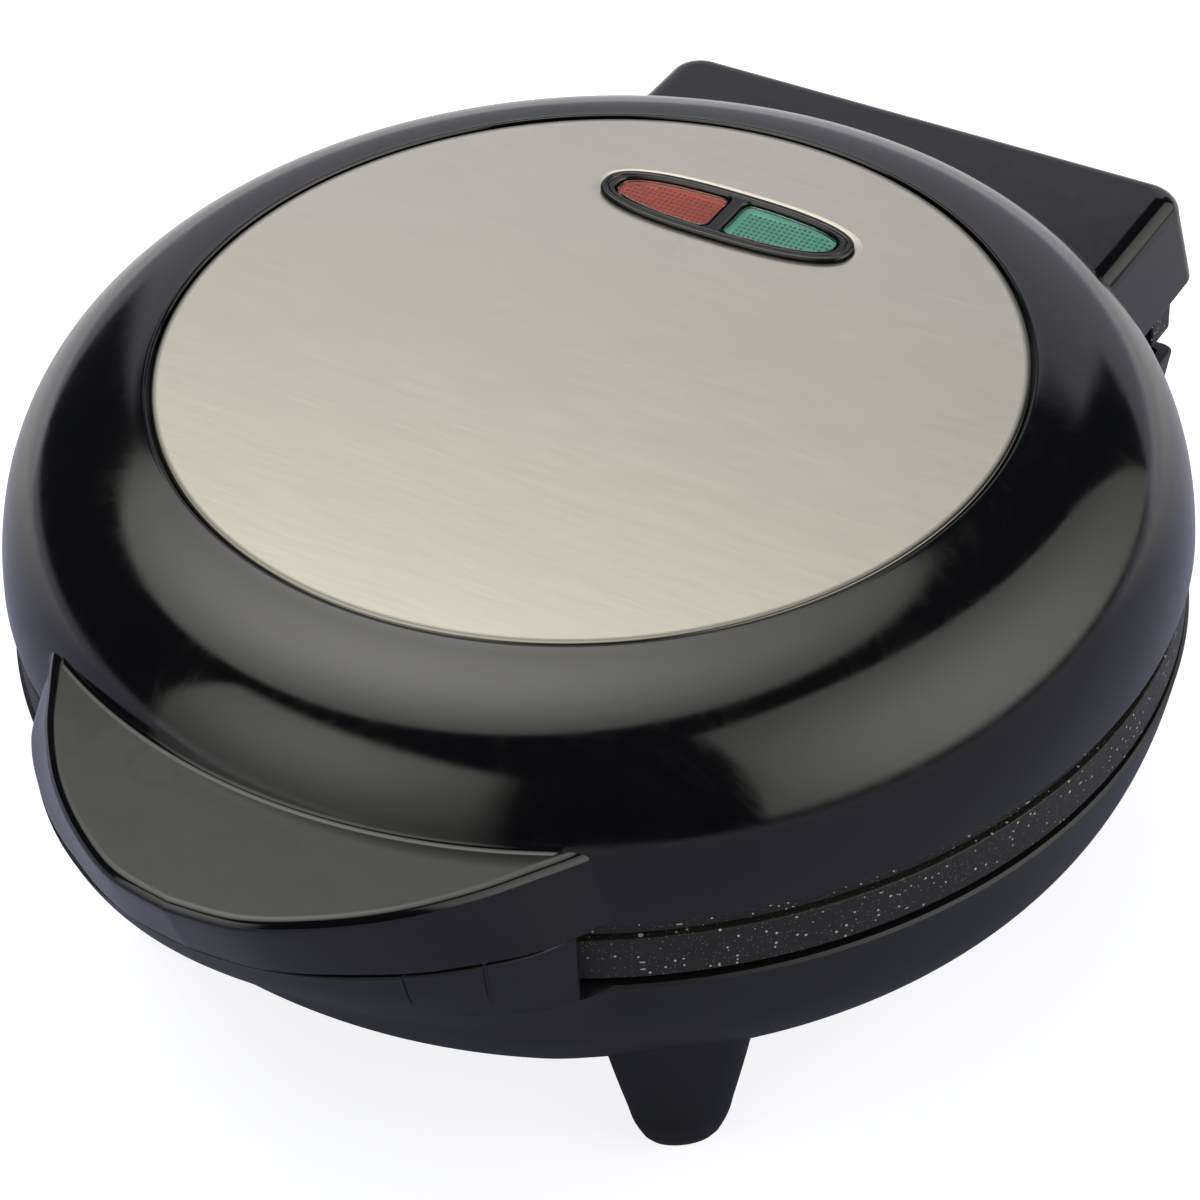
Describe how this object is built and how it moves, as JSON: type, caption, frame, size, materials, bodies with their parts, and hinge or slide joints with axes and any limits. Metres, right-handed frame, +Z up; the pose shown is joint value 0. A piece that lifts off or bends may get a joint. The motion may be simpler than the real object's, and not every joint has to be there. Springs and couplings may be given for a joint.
{
  "type": "omelette maker",
  "caption": "Round countertop omelette maker with a hinged domed lid, crescent front grip, steel top disc, two lamp lenses, coated cooking plates with D-shaped wells, and a bowl base on legs.",
  "frame": {"origin": "on the table, under the middle of the whole appliance", "axes": "+Z up; -Y towards the grip at the front; +Y towards the hinge at the back; +X to the right of someone who stands at the grip"},
  "size_m": [0.2102, 0.261, 0.1],
  "materials": {
    "lid_black": "gloss",
    "base_black": "satin",
    "bezel_black": "satin",
    "brushed_disc": "brushed along X",
    "green_lens": "clear, gridded behind",
    "red_lens": "clear, gridded behind",
    "coated_plate": "dark non-stick coating with pale specks",
    "plated_steel": "zinc plated",
    "element_sheath": "heat darkened",
    "shield_sheet": "mill finish sheet",
    "ceramic": "matt, pale",
    "lamp_glass": "clear"
  },
  "bodies": {
    "base": {"lower_plate": "coated_plate", "hinge_pin_right": "plated_steel", "hinge_pin_left": "plated_steel", "lower_heating_element": "element_sheath", "lower_element_clamp_right": "plated_steel", "lower_element_clamp_left": "plated_steel", "lower_heat_shield": "shield_sheet", "base_shell": "base_black", "cord_bushing": "bezel_black", "terminal_block": "ceramic", "base_screw_1": "plated_steel", "base_screw_2": "plated_steel", "base_screw_3": "plated_steel", "base_screw_4": "plated_steel"},
    "lid": {"lid_shell": "lid_black", "steel_disc": "brushed_disc", "lamp_bezel": "bezel_black", "green_lens": "green_lens", "red_lens": "red_lens", "lamp_holder": "ceramic", "green_lamp": "lamp_glass", "red_lamp": "lamp_glass", "upper_plate": "coated_plate", "upper_heating_element": "element_sheath", "upper_element_clamp_right": "plated_steel", "upper_element_clamp_left": "plated_steel", "upper_heat_shield": "shield_sheet", "thermostat": "ceramic", "thermal_fuse": "plated_steel", "lid_screw_1": "plated_steel", "lid_screw_2": "plated_steel", "lid_screw_3": "plated_steel", "lid_screw_4": "plated_steel"}
  },
  "joints": [
    {"name": "lid_hinge", "type": "hinge", "parent": "base", "child": "lid", "pos_m": [0, 0.11805, 0.0502], "axis": [-1, 0, 0], "range_deg": [0, 94]}
  ]
}
